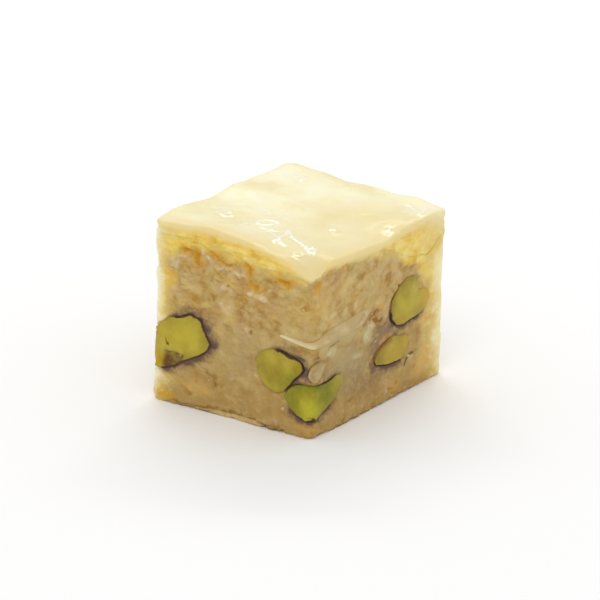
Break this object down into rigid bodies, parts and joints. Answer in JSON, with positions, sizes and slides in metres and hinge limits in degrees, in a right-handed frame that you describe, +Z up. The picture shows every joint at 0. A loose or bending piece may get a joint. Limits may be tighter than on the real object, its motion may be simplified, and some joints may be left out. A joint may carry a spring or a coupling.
{
  "type": "baklava piece",
  "caption": "Square-cut piece of pistachio baklava: glazed soft pastry top, thick pressed nut filling with cut pistachios in its sides, thin pastry base.",
  "frame": {"origin": "middle of the underside of the bounding box, where the piece rests", "axes": "+Z up through the glazed top, +Y along the longer side, the -Y and +X cut sides are the ones with the large pistachios"},
  "size_m": [0.0336, 0.0398, 0.0326],
  "materials": {
    "base_pastry": "thin syrup-soaked pastry, tan, satin",
    "filling": "pressed ground nuts in syrup, tan, moist, crumbly",
    "top_pastry": "soft syrup-glazed pastry, cream, golden at the cut sheets, glossy",
    "pistachio": "cut pistachio kernel, yellow-green, waxy, dark skin at its rim",
    "pale_nut": "pale nut sliver, smooth, waxy"
  },
  "bodies": {
    "root": {"base_pastry": "base_pastry", "filling": "filling", "top_pastry": "top_pastry", "pistachio_left_edge": "pistachio", "pistachio_front_middle": "pistachio", "pistachio_front_edge": "pistachio", "pistachio_right_upper": "pistachio", "pistachio_right_lower": "pistachio", "pistachio_back_low": "pistachio", "pistachio_back_high": "pistachio", "pistachio_side_high": "pistachio", "pistachio_side_low": "pistachio", "pistachio_side_rear": "pistachio", "nut_chip": "pale_nut", "nut_flake": "pale_nut"}
  },
  "joints": []
}
